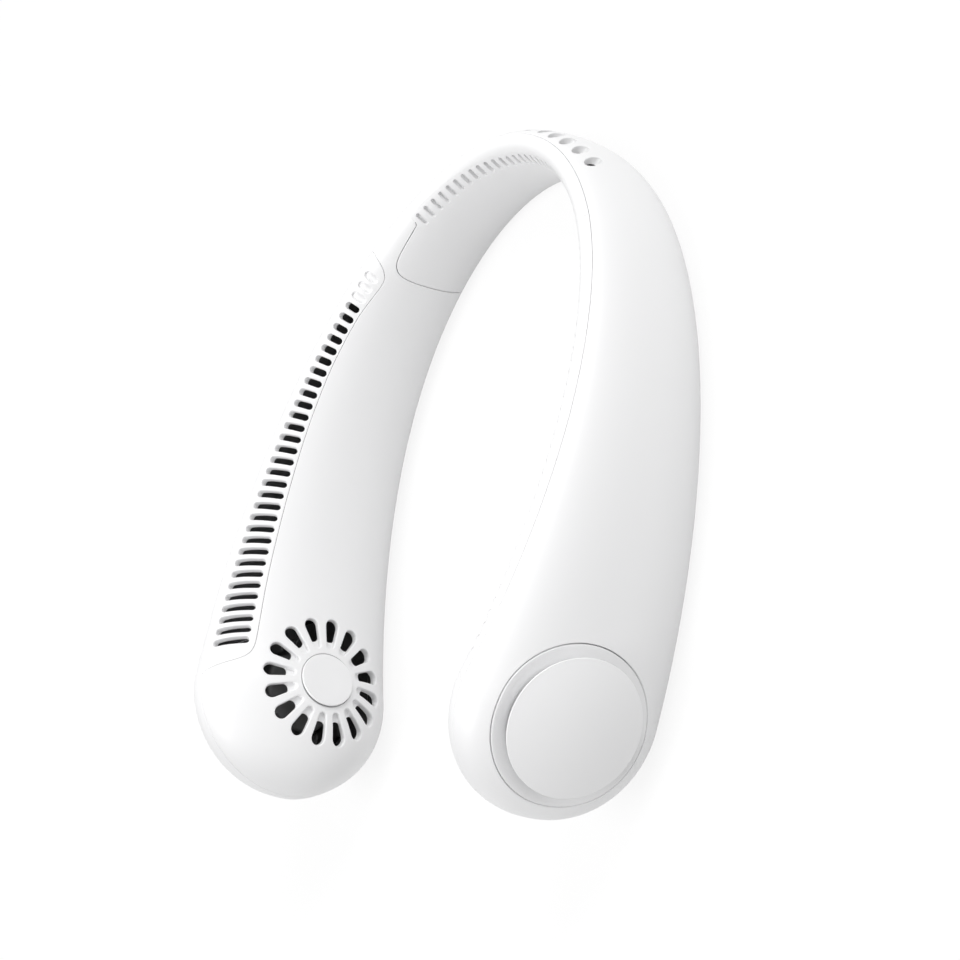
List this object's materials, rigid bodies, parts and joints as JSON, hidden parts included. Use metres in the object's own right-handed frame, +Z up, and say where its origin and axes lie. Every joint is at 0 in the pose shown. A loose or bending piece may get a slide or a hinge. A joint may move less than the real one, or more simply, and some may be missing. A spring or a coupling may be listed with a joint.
{
  "type": "wearable neck fan",
  "caption": "Horseshoe-shaped bladeless neck fan: a round blower at each end feeds air to slots along both arms, with a soft pad at the nape.",
  "frame": {"origin": "centre of the bounding box in plan, on the underside", "axes": "+Z up when worn, +Y towards the nape, the gap for the neck opens to -Y, X across the wearer"},
  "size_m": [0.1718, 0.1907, 0.058],
  "materials": {
    "white_shell": "satin white",
    "white_pad": "soft matt white",
    "white_cap": "satin white",
    "grey_plastic": "moulded, matt",
    "dark_wheel": "moulded, matt",
    "steel": "plain",
    "copper": "enamelled wire",
    "magnet": "coated ferrite",
    "bronze": "sintered",
    "cell_wrap": "film wrap",
    "board_green": "solder mask",
    "lens": "clear",
    "cable_black": "insulation"
  },
  "bodies": {
    "housing": {"outer_shell": "white_shell", "inner_shell": "white_shell", "neck_pad": "white_pad", "outlet_grille_left": "white_shell", "cap_bezel_left": "white_shell", "fan_cap_left": "white_cap", "hub_badge_left": "white_cap", "blower_housing_left": "grey_plastic", "bearing_left": "bronze", "motor_stator_left": "copper", "duct_floor_left": "grey_plastic", "battery_cell_left": "cell_wrap", "motor_lead_left": "cable_black", "blower_screw_left_1": "steel", "blower_screw_left_2": "steel", "blower_screw_left_3": "steel", "outlet_grille_right": "white_shell", "cap_bezel_right": "white_shell", "fan_cap_right": "white_cap", "hub_badge_right": "white_cap", "blower_housing_right": "grey_plastic", "bearing_right": "bronze", "motor_stator_right": "copper", "duct_floor_right": "grey_plastic", "battery_cell_right": "cell_wrap", "motor_lead_right": "cable_black", "blower_screw_right_1": "steel", "blower_screw_right_2": "steel", "blower_screw_right_3": "steel", "control_board": "board_green", "power_switch": "grey_plastic", "indicator_lens": "lens", "charging_socket": "steel", "nape_cable": "cable_black", "battery_lead": "cable_black"},
    "wheel_left": {"impeller_left": "dark_wheel", "rotor_magnet_left": "magnet", "motor_shaft_left": "steel"},
    "wheel_right": {"impeller_right": "dark_wheel", "rotor_magnet_right": "magnet", "motor_shaft_right": "steel"},
    "button": {"power_button": "white_cap"}
  },
  "joints": [
    {"name": "wheel_left_spin", "type": "hinge", "parent": "housing", "child": "wheel_left", "pos_m": [-0.06499, -0.06687, 0.0295], "axis": [-0.938, -0.3175, 0.1392], "continuous": true},
    {"name": "wheel_right_spin", "type": "hinge", "parent": "housing", "child": "wheel_right", "pos_m": [0.06499, -0.06687, 0.0295], "axis": [0.938, -0.3175, 0.1392], "continuous": true},
    {"name": "power_button_press", "type": "slide", "parent": "housing", "child": "button", "axis": [0.9961, 0.088, 0], "range_m": [0, 0.0005], "stiffness_N_per_m": 1500, "springref_m": -0.001}
  ]
}
